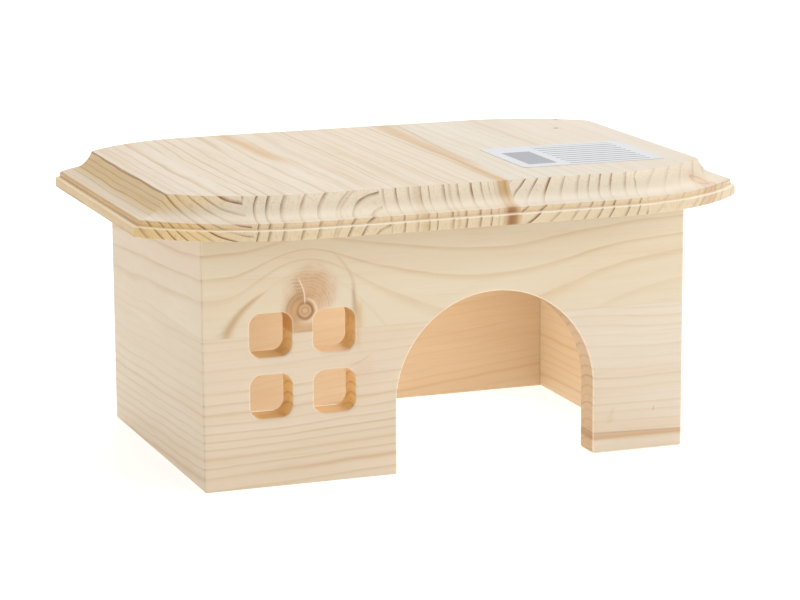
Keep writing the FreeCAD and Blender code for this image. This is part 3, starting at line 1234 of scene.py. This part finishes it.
@dataclass
class Label:
    """The paper label on the roof: thin, rounded at its corners and very slightly cockled."""

    paper: Paper = Paper()
    node: str = "roof_label"
    body: str = "roof"
    slot: str = "label_paper"
    corner: float = 2.0 * MM
    thickness: float = 0.12 * MM
    ripple: float = 0.02 * MM
    cuts: int = 24

    def build(self) -> bpy.types.Object:
        """Model the label on its CAD node's place.

        Returns:
            The label.
        """
        low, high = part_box(self.node)
        centre = (low + high) / 2
        mesh = bmesh.new()
        bmesh.ops.create_grid(mesh, x_segments=1, y_segments=1, size=0.5)
        bmesh.ops.scale(mesh, vec=(high.x - low.x, high.y - low.y, 1.0), verts=mesh.verts)
        bmesh.ops.bevel(
            mesh, geom=mesh.verts[:], offset=self.corner, segments=6, profile=0.5,
            affect="VERTICES", material=-1,
        )
        self.slice(mesh, high - low)
        bmesh.ops.translate(mesh, vec=(centre.x, centre.y, low.z), verts=mesh.verts)
        for vertex in mesh.verts:
            vertex.co.z += self.cockle(vertex.co)
        bmesh.ops.recalc_face_normals(mesh, faces=mesh.faces)
        bmesh.ops.solidify(mesh, geom=mesh.faces[:], thickness=-self.thickness)
        bmesh.ops.recalc_face_normals(mesh, faces=mesh.faces)
        label = make_piece("paper_label", mesh, smooth=False)
        finish(label, self.paper.material(low, high))
        return label

    def slice(self, mesh: bmesh.types.BMesh, size: Vector) -> None:
        """Cut the flat outline into a net that can bend.

        Args:
            mesh: The flat outline, centred on the origin.
            size: The label's size.
        """
        for axis, normal in enumerate((Vector((1.0, 0.0, 0.0)), Vector((0.0, 1.0, 0.0)))):
            for index in range(1, self.cuts):
                at = normal * (size[axis] * (index / self.cuts - 0.5))
                everything = mesh.verts[:] + mesh.edges[:] + mesh.faces[:]
                bmesh.ops.bisect_plane(mesh, geom=everything, plane_co=at, plane_no=normal)

    def cockle(self, point: Vector) -> float:
        """How far the paper stands off the roof at a point, in metres."""
        wave = math.sin(point.x * 170.0) * math.sin(point.y * 130.0 + 1.0)
        return (wave + 1.0) / 2 * self.ripple

    def dress(self) -> None:
        """Model the label and let it stand for its CAD node."""
        label = self.build()
        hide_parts(self.node)
        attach(label, self.body)
        LOG.info("paper_label stands for %s, on body %s", self.node, self.body)


# ---- Helpers ----


def finish(piece: bpy.types.Object, material: bpy.types.Material) -> None:
    """Give a piece one material."""
    piece.data.materials.clear()
    piece.data.materials.append(material)


def make_piece(name: str, mesh: bmesh.types.BMesh, smooth: bool = True) -> bpy.types.Object:
    """Turn a finished bmesh into an object at the origin.

    Args:
        name: The piece's name.
        mesh: Its mesh, which is used up.
        smooth: Whether its faces are shaded smooth.

    Returns:
        The new object.
    """
    data = bpy.data.meshes.new(name)
    mesh.to_mesh(data)
    mesh.free()
    for polygon in data.polygons:
        polygon.use_smooth = smooth
    piece = bpy.data.objects.new(name, data)
    bpy.context.scene.collection.objects.link(piece)
    return piece


# ---- Studio ----


@dataclass(frozen=True)
class Softbox:
    """A soft area light: where it stands, how large it is, how bright, and what it points at."""

    name: str
    place: Place
    size: float
    watts: float
    aim: Place = (0.0, 0.0, 0.05)

    def build(self) -> None:
        """Set up the light."""
        data = bpy.data.lights.new(self.name, "AREA")
        data.shape = "SQUARE"
        data.size = self.size
        data.energy = self.watts
        light = bpy.data.objects.new(self.name, data)
        light.visible_camera = False
        bpy.context.scene.collection.objects.link(light)
        towards = Vector(self.aim) - Vector(self.place)
        turn = towards.to_track_quat("-Z", "Y").to_matrix().to_4x4()
        light.matrix_world = Matrix.Translation(self.place) @ turn


@dataclass
class Studio:
    """A pale floor in an even white room, soft lights and the camera."""

    floor_size: float = 14.0
    floor_drop: float = 0.02 * MM
    floor_colour: Colour = (0.80, 0.80, 0.80)
    floor_roughness: float = 0.9
    floor_glow: float = 0.54
    room_light: float = 0.64
    softboxes: tuple[Softbox, ...] = (
        Softbox("key_softbox", (1.3, -1.3, 0.8), 1.0, 10.5),
        Softbox("top_softbox", (0.45, 0.8, 1.35), 1.2, 13.0),
        Softbox("back_softbox", (1.0, 2.0, 0.75), 1.2, 1.5),
        Softbox("nest_softbox", (0.006, 0.0, 0.084), 0.088, 0.060, (0.0, 0.0, 0.0)),
    )
    lens: float = 138.6
    sensor: float = 36.0
    nearest: float = 0.01
    farthest: float = 60.0
    eye: Place = (-0.40015, -1.09391, 0.29830)
    azimuth: float = 20.2355
    pitch: float = 11.9379
    roll: float = -0.3136

    def build(self) -> None:
        """Make the floor, the lights and the camera."""
        self.make_floor()
        self.make_room()
        for softbox in self.softboxes:
            softbox.build()
        self.make_camera()
        LOG.info("studio ready")

    def make_floor(self) -> None:
        """Lay the plain pale floor."""
        mesh = bmesh.new()
        bmesh.ops.create_grid(mesh, x_segments=1, y_segments=1, size=self.floor_size / 2)
        bmesh.ops.translate(mesh, vec=(0.0, 0.0, -self.floor_drop), verts=mesh.verts)
        floor = make_piece("studio_floor", mesh, smooth=False)
        recipe = Recipe("studio_floor_paint")
        recipe.dial("Base Color", self.floor_colour)
        recipe.dial("Roughness", self.floor_roughness)
        recipe.dial("Specular IOR Level", 0.0)
        recipe.dial("Emission Color", WHITE)
        recipe.dial("Emission Strength", self.floor_glow)
        finish(floor, recipe.material)

    def make_room(self) -> None:
        """Fill the room with even white light."""
        world = bpy.data.worlds.new("white_room")
        world.use_nodes = True
        background = next(n for n in world.node_tree.nodes if n.type == "BACKGROUND")
        background.inputs["Color"].default_value = (*WHITE, 1.0)
        background.inputs["Strength"].default_value = self.room_light
        bpy.context.scene.world = world
        bpy.context.scene.view_settings.view_transform = "Standard"

    def make_camera(self) -> None:
        """Set up the camera."""
        data = bpy.data.cameras.new("studio_camera")
        data.lens = self.lens
        data.sensor_width = self.sensor
        data.clip_start = self.nearest
        data.clip_end = self.farthest
        camera = bpy.data.objects.new("studio_camera", data)
        bpy.context.scene.collection.objects.link(camera)
        turn = (
            Matrix.Rotation(math.radians(-self.azimuth), 4, "Z")
            @ Matrix.Rotation(math.radians(90.0 - self.pitch), 4, "X")
            @ Matrix.Rotation(math.radians(self.roll), 4, "Z")
        )
        camera.matrix_world = Matrix.Translation(self.eye) @ turn
        bpy.context.scene.camera = camera


def main() -> None:
    """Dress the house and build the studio."""
    logging.basicConfig(level=logging.INFO, format="%(name)s: %(message)s")
    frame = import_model()
    nodes = frame["nodes"]
    house = House.read()
    Walls(nodes, house).dress()
    RoofBoard(nodes, house, Spruce(roughness=0.42)).dress()
    Battens(nodes, house).dress()
    Label().dress()
    Studio().build()


if __name__ == "__main__":
    main()
